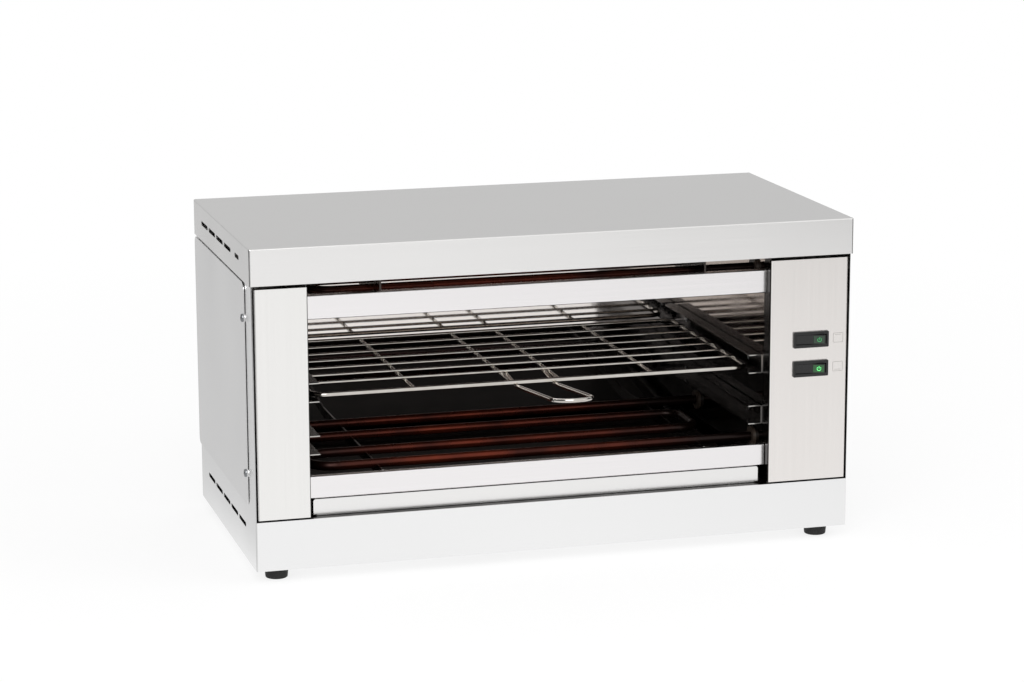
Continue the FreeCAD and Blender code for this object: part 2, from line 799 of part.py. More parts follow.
def rails():
    rivets = []
    for level, z0 in (("upper", upper_rail), ("lower", lower_rail)):
        z1 = z0 + d.rail_height
        sections = {
            "left": fold([(chamber_left + d.rail_flange, z1), (chamber_left, z1), (chamber_left, z0),
                          (chamber_left + d.rail_flange, z0)]),
            "right": fold([(chamber_right - d.rail_flange, z0), (chamber_right, z0), (chamber_right, z1),
                           (chamber_right - d.rail_flange, z1)])}
        for hand, wall in (("left", chamber_left), ("right", chamber_right)):
            name = f"{level}_{hand}_rail"
            rail = prism(name + "_channel", "front", rail_start, rail_end - rail_start, sections[hand])
            bore = d.rivet_shank + d.slip
            holes = [rod(name + "_hole", "x", wall - through_sheet / 2, y, z, bore, through_sheet)
                     for y, z in rivet_spots() if z0.value < z.value < z1.value]
            keep(cut(name, rail, holes), name)
    head = d.rivet_head_height
    for hand, inner in ((-1, chamber_left + d.gauge), (1, chamber_right - d.gauge)):
        for y, z in rivet_spots():
            start = inner - head if hand == 1 else inner - 2 * d.gauge - head
            grip = 2 * d.gauge + 2 * head
            shank = rod("rivet_shank", "x", start, y, z, d.rivet_shank, grip)
            near = rod("rivet_head", "x", start, y, z, d.rivet_head, head)
            far = rod("rivet_tail", "x", start + grip - head, y, z, d.rivet_head, head)
            rivets.append(join("rivet", [shank, near, far]))
    keep(group("rail_rivets", rivets), "rail_rivets")


def wire_rack():
    edge = d.rack_side_gap + d.frame_wire / 2
    x0, x1 = chamber_left + edge, chamber_right - edge
    frame = pipe("rack_frame", rack_z, d.frame_wire, square(x0, x1, rack_y, rack_rear, d.rack_corner), True)
    keep(frame, "rack_frame")
    cross_z = rack_z + d.frame_wire / 2 + d.cross_wire / 2 - d.weld_sink
    first = rack_y + d.cross_first
    pitch = (rack_rear - d.cross_last - first) / (cross_count - 1)
    wires = [rod("cross_wire", "x", x0, first + i * pitch, cross_z, d.cross_wire, x1 - x0)
             for i in range(cross_count)]
    keep(group("rack_cross_wires", wires), "rack_cross_wires")
    long_z = cross_z - d.cross_wire / 2 + d.weld_sink - d.long_wire / 2
    bite = d.frame_wire / 2 - d.weld_sink
    outer = (chamber_right - chamber_left) / 2 - d.rack_side_gap - d.long_edge
    wires = [rod("long_wire", "y", rack_x + offset, rack_y + bite, long_z, d.long_wire,
                 rack_rear - rack_y - 2 * bite)
             for offset in (-outer, -d.long_left, d.long_right, outer)]
    keep(group("rack_long_wires", wires), "rack_long_wires")


def turned(thing, axis, angle):
    thing.Placement = FreeCAD.Placement(FreeCAD.Vector(), FreeCAD.Rotation(axis, as_size(angle).value))
    tie(thing, "Placement.Rotation.Angle", angle)
    return thing


def placed(thing, x, y, z):
    tie(thing, "Placement.Base.x", x)
    tie(thing, "Placement.Base.y", y)
    tie(thing, "Placement.Base.z", z)
    return thing


def rack_handle():
    # one bent wire: two legs under the cross wires, then a loop that rises to the front
    half = d.handle_half_width
    middle = rack_x + d.handle_offset
    z = rack_z - d.frame_wire / 2 - d.handle_wire / 2 + d.weld_sink
    loop = pipe("handle_loop", as_size(0), d.handle_wire,
                [(-half, as_size(0), 0), (-half, -d.handle_reach, d.handle_bend),
                 (half, -d.handle_reach, d.handle_bend), (half, as_size(0), 0)])
    back_axis = FreeCAD.Vector(-1, 0, 0)
    placed(turned(loop, back_axis, d.handle_rise_angle), middle, rack_y, z)
    pieces = [loop]
    for x in (middle - half, middle + half):
        leg = doc.addObject("Part::Cylinder", "handle_leg")
        tie(leg, "Radius", d.handle_wire / 2)
        tie(leg, "Height", d.handle_leg_length)
        placed(turned(leg, back_axis, 90 - d.handle_leg_angle), x, rack_y, z)
        knee = doc.addObject("Part::Sphere", "handle_knee")
        tie(knee, "Radius", d.handle_wire / 2)
        placed(knee, x, rack_y, z)
        pieces += [leg, knee]
    keep(join("rack_handle", pieces), "rack_handle")


def heaters():
    legs = heater_legs()
    left = chamber_left + d.tube_left_gap + d.tube / 2
    hairpin = chamber_right - d.hairpin_gap - d.tube / 2
    end = chamber_right + d.cold_end
    bend = d.tube_bend
    path = [(end, legs[0], 0), (left, legs[0], bend), (left, legs[1], bend),
            (hairpin, legs[1], d.hairpin_bend), (hairpin, legs[2], d.hairpin_bend),
            (left, legs[2], bend), (left, legs[3], bend), (end, legs[3], 0)]
    studs = []
    for level, z in (("lower", lower_tube_z), ("upper", upper_tube_z)):
        keep(pipe(level + "_heater", z, d.tube, path), level + "_heater")
        bushes = []
        for y in (legs[0], legs[3]):
            inner = chamber_right - d.bush_head_length
            sleeve = rod("bush_sleeve", "x", inner, y, z, d.bush_diameter, d.bush_length)
            head = rod("bush_head", "x", inner, y, z, d.bush_head, d.bush_head_length)
            bore = rod("bush_bore", "x", inner - past, y, z, d.tube + d.saddle_clearance,
                       d.bush_length + 2 * past)
            bushes.append(cut("bush", join("bush_body", [sleeve, head]), [bore]))
            studs.append(rod("stud", "x", end, y, z, d.stud_diameter, d.stud_length))
        keep(group(level + "_heater_bushes", bushes), level + "_heater_bushes")
    keep(group("heater_terminals", studs), "heater_terminals")
    bore = d.tube + 2 * d.saddle_clearance
    through = d.bracket_gauge + 2 * past
    for hand, x in (("right", chamber_right - d.bracket_right_gap),
                    ("left", chamber_left + d.bracket_left_gap)):
        start, stop = bar_face + d.strip_return, chamber_back
        saddle_top = lower_tube_z - d.saddle_clearance
        plate = block("support_plate", x, x + d.bracket_gauge, start, stop,
                      lower_tube_z - d.bracket_depth, saddle_top)
        grooves = [rod("groove", "x", x - past, y, lower_tube_z, bore, through) for y in legs]
        name = f"lower_{hand}_heater_support"
        keep(cut(name, plate, grooves), name)
        plate = block("hanger_plate", x, x + d.bracket_gauge, chamber_front + d.hanger_setback,
                      chamber_back, upper_tube_z - d.hanger_drop, chamber_top)
        holes = [rod("hole", "x", x - past, y, upper_tube_z, bore, through) for y in legs]
        name = f"upper_{hand}_heater_hanger"
        keep(cut(name, plate, holes), name)


def feet():
    screws = []
    for spot, x, y in foot_spots():
        radius = d.foot_diameter / 2
        foot = doc.addObject("Part::Cone", "foot")
        tie(foot, "Radius1", radius - d.foot_taper)
        tie(foot, "Radius2", radius)
        tie(foot, "Height", d.foot_height)
        placed(foot, x, y, as_size(0))
        sink = d.foot_height - d.foot_floor
        well = rod("well", "z", x, y, -past, d.foot_counterbore, sink + past)
        bore = rod("bore", "z", x, y, as_size(0), d.foot_bore, d.foot_height + past)
        keep(cut(spot + "_foot", foot, [well, bore]), spot + "_foot")
        head = rod("head", "z", x, y, sink - d.foot_screw_head_height, d.foot_screw_head,
                   d.foot_screw_head_height)
        grip = d.foot_floor + d.gauge + d.foot_nut_height + d.thread_end
        shank = rod("shank", "z", x, y, sink, d.screw_shank, grip)
        nut = rod("nut", "z", x, y, floor + d.gauge, d.foot_nut, d.foot_nut_height)
        screws.append(join("foot_screw", [head, shank, nut]))
    keep(group("foot_screws", screws), "foot_screws")


def rear_screws(name, face, spots):
    screws = []
    for x, z in spots:
        head = rod("head", "y", x, face, z, d.screw_head, d.screw_head_height)
        shank = rod("shank", "y", x, face - d.screw_length, z, d.screw_shank, d.screw_length)
        screws.append(join("rear_screw", [head, shank]))
    keep(group(name, screws), name)


def cover_screws():
    screws = []
    for hand in (-1, 1):
        for y, z in side_cover_spots():
            face = hand * (side + d.cover_standoff + d.gauge)
            head_start = face if hand == 1 else face - d.screw_head_height
            shank_start = face - d.screw_length if hand == 1 else face
            head = rod("head", "x", head_start, y, z, d.screw_head, d.screw_head_height)
            shank = rod("shank", "x", shank_start, y, z, d.screw_shank, d.screw_length)
            screws.append(join("cover_screw", [head, shank]))
    keep(group("side_cover_screws", screws), "side_cover_screws")
    rear_screws("rear_panel_screws", skin_back + d.gauge, rear_screw_spots())
    rear_screws("top_cover_screws", back, lid_screw_spots())


def switch_heights():
    upper = deck + d.upper_switch_rise
    return [upper, upper - d.switch_pitch]


def switch(level, z):
    face = skin_front - d.bezel_proud
    x = switch_x
    half = d.bezel_width / 2
    bezel = prism(level + "_bezel", "front", face, d.bezel_proud,
                  square(x - half, x + half, z - d.bezel_height / 2, z + d.bezel_height / 2, d.bezel_round))
    across = d.cutout_width / 2 - d.slip
    tall = d.cutout_height / 2 - d.slip
    box = block(level + "_switch_box", x - across, x + across, skin_front - d.bezel_proud / 2,
                skin_front + d.switch_depth, z - tall, z + tall)
    room = d.window_width / 2
    high = d.rocker_height / 2 + d.rocker_side_gap
    pocket = block(level + "_pocket", x - room, x + room, face - past, face + d.rocker_pocket,
                   z - high, z + high)
    pivot_y = face + d.pivot_depth
    reach = d.rocker_height / 2 + d.trunnion_length
    seat = rod(level + "_pivot_seat", "z", x, pivot_y, z - reach - d.slip,
               d.trunnion_diameter + 2 * d.trunnion_clearance, 2 * reach + 2 * d.slip)
    body = join(level + "_switch_moulding", [bezel, box])
    keep(cut(level + "_switch_body", body, [pocket, seat]), level + "_switch_body")

    # rocker, drawn about its pivot and then tilted
    end = d.rocker_width / 2
    rim = d.pivot_depth + d.rocker_end_proud
    valley = d.pivot_depth - d.rocker_middle_sink
    skirt = d.rocker_skirt_half
    outline = [(-end, -rim, 0), (as_size(0), -valley, 0), (end, -rim, 0), (end, -d.rocker_shoulder, 0),
               (skirt, d.rocker_skirt, 0), (-skirt, d.rocker_skirt, 0), (-end, -d.rocker_shoulder, 0)]
    paddle = prism(level + "_paddle", "top", -d.rocker_height / 2, d.rocker_height, outline)
    trunnion = rod(level + "_trunnion", "z", as_size(0), as_size(0), -reach, d.trunnion_diameter, 2 * reach)
    slope = (rim - valley) / end
    x0, x1 = d.lens_inner, end - d.lens_outer
    face_at = {x0: -valley - slope * x0, x1: -valley - slope * x1}
    lift = d.lens_proud
    lens_half = d.lens_height / 2
    well = prism(level + "_lens_well", "top", -lens_half, d.lens_height,
                 [(x0, face_at[x0] - past, 0), (x1, face_at[x1] - past, 0),
                  (x1, face_at[x1] + d.lens_depth, 0), (x0, face_at[x0] + d.lens_depth, 0)])
    tilt_axis = FreeCAD.Vector(0, 0, -1)
    rocker = cut(level + "_rocker", join(level + "_lever", [paddle, trunnion]), [well])
    keep(placed(turned(rocker, tilt_axis, d.rocker_tilt), x, pivot_y, z), level + "_rocker")
    lens = prism(level + "_rocker_lens", "top", -lens_half, d.lens_height,
                 [(x0, face_at[x0] - lift, 0), (x1, face_at[x1] - lift, 0),
                  (x1, face_at[x1] + d.lens_depth, 0), (x0, face_at[x0] + d.lens_depth, 0)])
    keep(placed(turned(lens, tilt_axis, d.rocker_tilt), x, pivot_y, z), level + "_rocker_lens")
    blades = []
    for step in (-1, 0, 1):
        middle = x + step * d.blade_pitch
        blades.append(block("blade", middle - d.blade_gauge / 2, middle + d.blade_gauge / 2,
                            skin_front + d.switch_depth, skin_front + d.switch_depth + d.blade_length,
                            z - d.blade_width / 2, z + d.blade_width / 2))
    keep(group(level + "_switch_terminals", blades), level + "_switch_terminals")


def hexagon(name, y, length, x, z, across):
    # a six-sided block along Y
    nut = doc.addObject("Part::Prism", name)
    nut.Polygon = 6
    nut.Placement = FreeCAD.Placement(FreeCAD.Vector(), turns["y"])
    tie(nut, "Circumradius", across / math.sqrt(3))
    tie(nut, "Height", length)
    return placed(nut, x, y, z)


def inlet():
    # cord inlet in the rear panel, and the block inside that its wires end in
    face = skin_back + d.gauge
    flange = hexagon("gland_flange", face, d.gland_hex, gland_x, gland_z, d.gland_across)
    cap = doc.addObject("Part::Cone", "gland_cap")
    cap.Placement = FreeCAD.Placement(FreeCAD.Vector(), turns["y"])
    tie(cap, "Radius1", d.gland_across / 2)
    tie(cap, "Radius2", d.gland_thread / 2)
    tie(cap, "Height", back + d.gland_reach - face - d.gland_hex)
    placed(cap, gland_x, face + d.gland_hex, gland_z)
    inner_end = face - d.gland_thread_length
    thread = rod("gland_thread", "y", gland_x, inner_end, gland_z, d.gland_thread,
                 d.gland_thread_length + d.gland_hex)
    through = back + d.gland_reach - inner_end + 2 * past
    bore = rod("gland_bore", "y", gland_x, inner_end - past, gland_z, d.gland_bore, through)
    keep(cut("cord_gland", join("gland_moulding", [flange, cap, thread]), [bore]), "cord_gland")
    nut_start = skin_back - d.gland_nut_length
    nut = hexagon("gland_nut_blank", nut_start, d.gland_nut_length, gland_x, gland_z, d.gland_across)
    bore = rod("gland_nut_bore", "y", gland_x, nut_start - past, gland_z, d.gland_thread + d.slip,
               d.gland_nut_length + 2 * past)
    keep(cut("cord_gland_nut", nut, [bore]), "cord_gland_nut")
    x0 = gland_x - d.block_width / 2
    y1 = skin_back - d.block_setback
    base = block("terminal_block_base", x0, x0 + d.block_width, y1 - d.block_length, y1, deck,
                 deck + d.block_height)
    tools = []
    for step in (-1, 0, 1):
        y = y1 - d.block_length / 2 + step * d.block_pitch
        tools.append(rod("wire_hole", "x", x0 - past, y, deck + d.block_height / 3, d.stud_diameter,
                         d.block_width + 2 * past))
        tools.append(rod("screw_well", "z", gland_x, y, deck + d.block_height / 2, d.stud_diameter,
                         d.block_height))
    keep(cut("terminal_block", base, tools), "terminal_block")


strip_low = deck + 2 * d.tray_gap + d.tray_plate_rise + d.tray_height
lower_rail = deck + d.upper_rail_rise - d.rail_pitch
upper_rail = deck + d.upper_rail_rise
rail_start = front + d.rail_front
rail_end = chamber_back - d.rail_rear_gap
rack_x = (chamber_left + chamber_right) / 2
rack_y = front + d.rack_front
rack_rear = chamber_back - d.rack_rear_gap
rack_z = upper_rail + d.gauge + d.rack_clearance + d.frame_wire / 2
lower_tube_z = deck + d.lower_tube_rise
upper_tube_z = chamber_top - d.upper_tube_drop
switch_x = d.case_width / 2 - d.switch_from_right
gland_x = d.case_width / 2 - d.gland_in_from_right
gland_z = deck + d.gland_rise

chassis()
base_deck()
top_cover()
front_posts()
side_covers()
rear_panel()
chamber()
front_bars()
crumb_tray()
rails()
wire_rack()
rack_handle()
heaters()
feet()
cover_screws()
for level, z in zip(("upper", "lower"), switch_heights()):
    switch(level, z)
inlet()

doc.recompute()
failed = [thing.Name for thing in doc.Objects if "Invalid" in thing.State or "Error" in thing.State]
if failed:
    raise RuntimeError(f"failed: {failed}")
os.makedirs("parts", exist_ok=True)
for thing in nodes:
    if thing.Shape.isNull() or not thing.Shape.isValid() or not thing.Shape.Solids:
        raise RuntimeError(f"{thing.Label} has no valid solid")
for thing in nodes:
    box = thing.Shape.BoundBox
    print(f"{thing.Label:28s} {len(thing.Shape.Solids):3d} {thing.Shape.Volume:10.0f}  "
          f"X {box.XMin:7.1f} {box.XMax:7.1f}  Y {box.YMin:7.1f} {box.YMax:7.1f}  "
          f"Z {box.ZMin:6.1f} {box.ZMax:6.1f}")
    thing.Shape.exportStep(f"parts/{thing.Label}.step")
print(len(nodes), "sub-parts written")
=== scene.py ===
import json
import math

import bpy
from mathutils import Matrix, Vector

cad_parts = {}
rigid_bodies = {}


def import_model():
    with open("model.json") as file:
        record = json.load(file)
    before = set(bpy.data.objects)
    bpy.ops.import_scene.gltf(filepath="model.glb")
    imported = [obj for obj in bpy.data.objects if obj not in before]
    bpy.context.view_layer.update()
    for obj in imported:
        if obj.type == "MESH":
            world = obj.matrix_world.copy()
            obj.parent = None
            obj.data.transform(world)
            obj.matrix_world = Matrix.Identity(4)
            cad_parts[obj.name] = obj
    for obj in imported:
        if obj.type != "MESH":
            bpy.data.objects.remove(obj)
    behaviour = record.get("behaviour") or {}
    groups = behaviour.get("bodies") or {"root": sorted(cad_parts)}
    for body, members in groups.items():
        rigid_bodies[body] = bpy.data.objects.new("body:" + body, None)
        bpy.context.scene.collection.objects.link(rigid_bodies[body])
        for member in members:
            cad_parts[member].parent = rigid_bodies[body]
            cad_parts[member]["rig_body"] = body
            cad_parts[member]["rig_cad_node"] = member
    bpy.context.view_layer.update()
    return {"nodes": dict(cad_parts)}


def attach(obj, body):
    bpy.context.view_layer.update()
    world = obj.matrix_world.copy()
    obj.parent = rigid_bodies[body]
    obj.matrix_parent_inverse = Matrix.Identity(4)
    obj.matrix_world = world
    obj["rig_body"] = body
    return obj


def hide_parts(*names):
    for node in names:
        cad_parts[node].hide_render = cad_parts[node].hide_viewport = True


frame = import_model()
nodes = frame["nodes"]
mm = 0.001
print("stage 1: frame loaded with", len(nodes), "nodes")

# Camera: a long lens a little above and to the left, fitted to the photograph
view = {
    "place": Vector((-708.2, -2478.28, 727.6)) * mm,
    "azimuth": -15.622,    # degrees
    "elevation": 12.161,
    "roll": -0.188,
    "lens": 106.75,
    "sensor": 36.0,
    "clip": (0.1, 60.0),   # metres
}


def placeCamera():
    bpy.ops.object.camera_add(location=view["place"])
    camera = bpy.context.object
    camera.name = "productCamera"
    turn = (Matrix.Rotation(math.radians(view["azimuth"]), 4, "Z")
            @ Matrix.Rotation(math.radians(90 - view["elevation"]), 4, "X")
            @ Matrix.Rotation(math.radians(view["roll"]), 4, "Z"))
    camera.matrix_world = Matrix.Translation(view["place"]) @ turn
    camera.data.lens = view["lens"]
    camera.data.sensor_width = view["sensor"]
    camera.data.clip_start, camera.data.clip_end = view["clip"]
    bpy.context.scene.camera = camera


placeCamera()
bpy.context.scene.view_settings.view_transform = "Standard"


# Materials
def toLinear(hexColour):
    channels = [int(hexColour[i:i + 2], 16) / 255 for i in (1, 3, 5)]
    return [c / 12.92 if c <= 0.04045 else ((c + 0.055) / 1.055) ** 2.4 for c in channels] + [1.0]


def addNode(tree, kind, settings=None, links=None):
    # a node with its settings and links. A socket goes by its name or place, and a node given as a link
    # stands for its live output
    node = tree.nodes.new("ShaderNode" + kind)
    for name, value in (settings or {}).items():
        if isinstance(value, str) and value.startswith("#"):
            value = toLinear(value)
        if isinstance(name, int) or name in node.inputs:
            node.inputs[name].default_value = value
        else:
            setattr(node, name, value)
    for name, source in (links or {}).items():
        if hasattr(source, "outputs"):
            source = next(socket for socket in source.outputs if socket.enabled)
        tree.links.new(source, node.inputs[name])
    return node


def startMaterial(name):
    material = bpy.data.materials.new(name)
    material.use_nodes = True
    material.node_tree.nodes.clear()
    spot = addNode(material.node_tree, "TexCoord").outputs["Object"]
    return material, material.node_tree, spot


def finishMaterial(material, settings, links):
    shader = addNode(material.node_tree, "BsdfPrincipled", settings, links)
    addNode(material.node_tree, "OutputMaterial", None, {"Surface": shader})
    return material


satin = {
    "across": 1.6,          # mm between the drawn lines
    "along": 260,           # mm, length of a line
    "waves": 120,           # mm between duller and brighter places
    "paintedShade": "#2E2B29",   # painted shade on a flange folded back into the opening
}


def satinSheet(name, grain, colours, roughness, innerReturn=None):
    # stainless sheet, bright annealed and skin-passed: a calm mirror-like sheen, barely drawn out along the
    # rolling direction. Its real lines are 0.1 mm apart; they are drawn coarser so that they show
    material, tree, spot = startMaterial(name)
    scale = [1 / (satin["across"] * mm)] * 3
    scale["xyz".index(grain)] = 1 / (satin["along"] * mm)
    stretched = addNode(tree, "Mapping", {"Scale": scale}, {"Vector": spot})
    lines = addNode(tree, "TexNoise", {"Scale": 1.0, "Detail": 2.0}, {"Vector": stretched})
    sheen = addNode(tree, "Mix", {"data_type": "RGBA", 6: colours[0], 7: colours[1]}, {0: lines})
    if innerReturn:
        # painted shade on the inner return, where the flange folds back into the dark opening
        across = addNode(tree, "SeparateXYZ", None, {"Vector": spot}).outputs["X"]
        share = addNode(tree, "MapRange", {"From Min": innerReturn[0] * mm, "From Max": innerReturn[1] * mm,
                                           "To Min": 1.0, "To Max": 0.0}, {"Value": across})
        sheen = addNode(tree, "Mix", {"data_type": "RGBA", 7: satin["paintedShade"]}, {0: share, 6: sheen})
    waves = addNode(tree, "TexNoise", {"Scale": 1 / (satin["waves"] * mm), "Detail": 2.0}, {"Vector": spot})
    gloss = addNode(tree, "MapRange", {"From Min": 0.3, "From Max": 0.7, "To Min": roughness[0],
                                       "To Max": roughness[1]}, {"Value": waves})
    return finishMaterial(material, {"Metallic": 1.0}, {"Base Color": sheen, "Roughness": gloss})


chamber = {
    "shadedUpTo": 150,   # mm above the table, where the rack stands
    "clearFrom": 175,
}


def chamberSheet(name, clear, dark, roughness, stainSize):
    # polished stainless sheet, clear above the rack and darkened below it with painted shade in cloudy
    # stains: a mirror between cloudy stains
    material, tree, spot = startMaterial(name)
    cloud = addNode(tree, "TexNoise", {"Scale": 1 / (stainSize * mm), "Detail": 3.0}, {"Vector": spot})
    stains = addNode(tree, "MapRange", {"From Min": 0.35, "From Max": 0.7}, {"Value": cloud})
    height = addNode(tree, "SeparateXYZ", None, {"Vector": spot}).outputs["Z"]
    above = addNode(tree, "MapRange", {"From Min": chamber["shadedUpTo"] * mm,
                                       "From Max": chamber["clearFrom"] * mm}, {"Value": height})
    paintedShade = addNode(tree, "Mix", {"data_type": "RGBA", 6: dark[0], 7: dark[1]}, {0: stains})
    colour = addNode(tree, "Mix", {"data_type": "RGBA", 7: clear}, {0: above, 6: paintedShade})
    gloss = addNode(tree, "MapRange", {"To Min": roughness[0], "To Max": roughness[1]}, {"Value": stains})
    return finishMaterial(material, {"Metallic": 1.0}, {"Base Color": colour, "Roughness": gloss})


backWall = {
    "shadedUpTo": 143 * mm,
    "foldLine": 148 * mm,   # below this height the sheet leans in a little
    "slope": 0.07,
    "clear": "#E9E3DF",
    # painted shade on the lower part, in cloudy stains
    "paintedShade": ("#8E8A88", "#6E6966"),
    "stain": 60 * mm,
    "roughness": 0.06,
}


def bowedBackWall():
    # polished stainless back sheet, pressed flat only roughly: its upper part mirrors the bright room and its
    # lower part, which leans a little, mirrors the dark pan and carries painted shade in cloudy stains
    material, tree, spot = startMaterial("polishedBackSheet")
    height = addNode(tree, "SeparateXYZ", None, {"Vector": spot}).outputs["Z"]
    above = addNode(tree, "MapRange", {"From Min": backWall["shadedUpTo"], "From Max": backWall["foldLine"]},
                    {"Value": height})
    cloud = addNode(tree, "TexNoise", {"Scale": 1 / backWall["stain"], "Detail": 2.0}, {"Vector": spot})
    first, second = backWall["paintedShade"]
    paintedShade = addNode(tree, "Mix", {"data_type": "RGBA", 6: first, 7: second}, {0: cloud})
    colour = addNode(tree, "Mix", {"data_type": "RGBA", 7: backWall["clear"]}, {0: above, 6: paintedShade})
    low = addNode(tree, "Math", {"operation": "MINIMUM", 1: backWall["foldLine"]}, {0: height})
    bow = addNode(tree, "Math", {"operation": "MULTIPLY", 1: backWall["slope"]}, {0: low})
    bump = addNode(tree, "Bump", {"Strength": 1.0, "Distance": 1.0}, {"Height": bow})
    return finishMaterial(material, {"Metallic": 1.0, "Roughness": backWall["roughness"]},
                          {"Base Color": colour, "Normal": bump})


def paintedShadeSheet(name, dark, edge, roughness, stainSize):
    # small folded stainless parts, darkened with painted shade in cloudy stains. The faces that look straight
    # to the front get a painted highlight
    material, tree, spot = startMaterial(name)
    cloud = addNode(tree, "TexNoise", {"Scale": 1 / (stainSize * mm), "Detail": 3.0}, {"Vector": spot})
    stains = addNode(tree, "MapRange", {"From Min": 0.35, "From Max": 0.65}, {"Value": cloud})
    body = addNode(tree, "Mix", {"data_type": "RGBA", 6: dark[0], 7: dark[1]}, {0: stains})
    normal = addNode(tree, "NewGeometry").outputs["Normal"]
    onPiece = addNode(tree, "VectorTransform", {"vector_type": "NORMAL", "convert_from": "WORLD",
                                                "convert_to": "OBJECT"}, {0: normal})
    forward = addNode(tree, "SeparateXYZ", None, {"Vector": onPiece}).outputs["Y"]
    # painted highlight on the faces that look to the front
    litFrontFaces = addNode(tree, "MapRange", {"From Min": -0.6, "From Max": -0.8}, {"Value": forward})
    colour = addNode(tree, "Mix", {"data_type": "RGBA", 7: edge}, {0: litFrontFaces, 6: body})
    gloss = addNode(tree, "MapRange", {"To Min": roughness[0], "To Max": roughness[1]}, {"Value": stains})
    return finishMaterial(material, {"Metallic": 1.0}, {"Base Color": colour, "Roughness": gloss})


tray = {
    "plateBack": (-82.6, -82.4),   # mm, where the front plate ends and the pan begins
    "plate": "#F0EFEE",
    # painted shade in the pan, in cloudy dust
    "pan": ("#15110F", "#241B17"),
    "dust": 18,                    # mm
    "roughness": (0.24, 0.42),     # plate, pan
}


def paintedShadeTray():
    # crumb tray of bright sheet: the front plate stays clean, the pan behind it is brown-black with painted
    # shade in clouds of dust
    material, tree, spot = startMaterial("paintedShadeCrumbTray")
    depth = addNode(tree, "SeparateXYZ", None, {"Vector": spot}).outputs["Y"]
    first, last = tray["plateBack"]
    inside = addNode(tree, "MapRange", {"From Min": first * mm, "From Max": last * mm}, {"Value": depth})
    cloud = addNode(tree, "TexNoise", {"Scale": 1 / (tray["dust"] * mm), "Detail": 4.0}, {"Vector": spot})
    stains = addNode(tree, "MapRange", {"From Min": 0.35, "From Max": 0.7}, {"Value": cloud})
    pan = addNode(tree, "Mix", {"data_type": "RGBA", 6: tray["pan"][0], 7: tray["pan"][1]}, {0: stains})
    colour = addNode(tree, "Mix", {"data_type": "RGBA", 6: tray["plate"]}, {0: inside, 7: pan})
    bare = addNode(tree, "MapRange", {"To Min": 1.0, "To Max": 0.0}, {"Value": inside})
    gloss = addNode(tree, "MapRange", {"To Min": tray["roughness"][0], "To Max": tray["roughness"][1]},
                    {"Value": inside})
    return finishMaterial(material, {"Specular IOR Level": 0.2},
                          {"Base Color": colour, "Metallic": bare, "Roughness": gloss})


heater = {
    "middle": -40,                  # mm, X of the hottest place
    "hotHalf": 50,
    "coldHalf": 180,
    "hot": ("#6B2A18", "#3A150D"),
    "cold": "#1C100D",
    "band": 45,                     # mm
    "roughness": (0.2, 0.34),
}


def heaterSheath():
    # sheathed element, nickel alloy tube oxidised by use: glossy red-brown where it glows, in uneven bands,
    # and nearly black towards its ends
    material, tree, spot = startMaterial("oxidisedHeaterSheath")
    bands = addNode(tree, "TexNoise", {"Scale": 1 / (heater["band"] * mm), "Detail": 3.0}, {"Vector": spot})
    share = addNode(tree, "MapRange", {"From Min": 0.35, "From Max": 0.65}, {"Value": bands})
    hot = addNode(tree, "Mix", {"data_type": "RGBA", 6: heater["hot"][0], 7: heater["hot"][1]}, {0: share})
    across = addNode(tree, "SeparateXYZ", None, {"Vector": spot}).outputs["X"]
    offset = addNode(tree, "Math", {"operation": "ADD", 1: -heater["middle"] * mm}, {0: across})
    aside = addNode(tree, "Math", {"operation": "ABSOLUTE"}, {0: offset})
    cold = addNode(tree, "MapRange", {"From Min": heater["hotHalf"] * mm,
                                      "From Max": heater["coldHalf"] * mm}, {"Value": aside})
    colour = addNode(tree, "Mix", {"data_type": "RGBA", 7: heater["cold"]}, {0: cold, 6: hot})
    gloss = addNode(tree, "MapRange", {"From Min": 0.3, "From Max": 0.7, "To Min": heater["roughness"][0],
                                       "To Max": heater["roughness"][1]}, {"Value": bands})
    return finishMaterial(material, {"Metallic": 0.75}, {"Base Color": colour, "Roughness": gloss})


def cloudyFinish(name, settings, colours, roughness, cloudSize, detail=3.0, pitDepth=0.0):
    # two close colours and a slightly uneven gloss, in clouds or grit of a real size
    material, tree, spot = startMaterial(name)
    cloud = addNode(tree, "TexNoise", {"Scale": 1 / (cloudSize * mm), "Detail": detail}, {"Vector": spot})
    colour = addNode(tree, "Mix", {"data_type": "RGBA", 6: colours[0], 7: colours[1]}, {0: cloud})
    gloss = addNode(tree, "MapRange", {"From Min": 0.3, "From Max": 0.7, "To Min": roughness[0],
                                       "To Max": roughness[1]}, {"Value": cloud})
    links = {"Base Color": colour, "Roughness": gloss}
    if pitDepth:
        links["Normal"] = addNode(tree, "Bump", {"Strength": 0.3, "Distance": pitDepth * mm},
                                  {"Height": cloud})
    return finishMaterial(material, settings, links)


def mouldedPart(name, colours, roughness, grit):
    # moulded or pressed part: a fine even grit in the gloss, grit is its size in mm
    return cloudyFinish(name, {"IOR": 1.5}, colours, roughness, grit, 2.0, 0.05)


prismSize = 1.5   # mm, the ribs moulded inside a lens


def pilotLens(name, colours, glowPaintedWhenUnlit):
    # tinted clear polycarbonate over a neon lamp: deep green; a lit lens glows with its lamp, an unlit lens
    # and symbol with a faint painted glow
    material, tree, spot = startMaterial(name)
    prisms = addNode(tree, "TexNoise", {"Scale": 1 / (prismSize * mm), "Detail": 1.0}, {"Vector": spot})
    colour = addNode(tree, "Mix", {"data_type": "RGBA", 6: colours[0], 7: colours[1]}, {0: prisms})
    return finishMaterial(material, {"Roughness": 0.12, "IOR": 1.58, "Coat Weight": 0.3,
                                     "Emission Color": colours[1], "Emission Strength": glowPaintedWhenUnlit},
                          {"Base Color": colour})


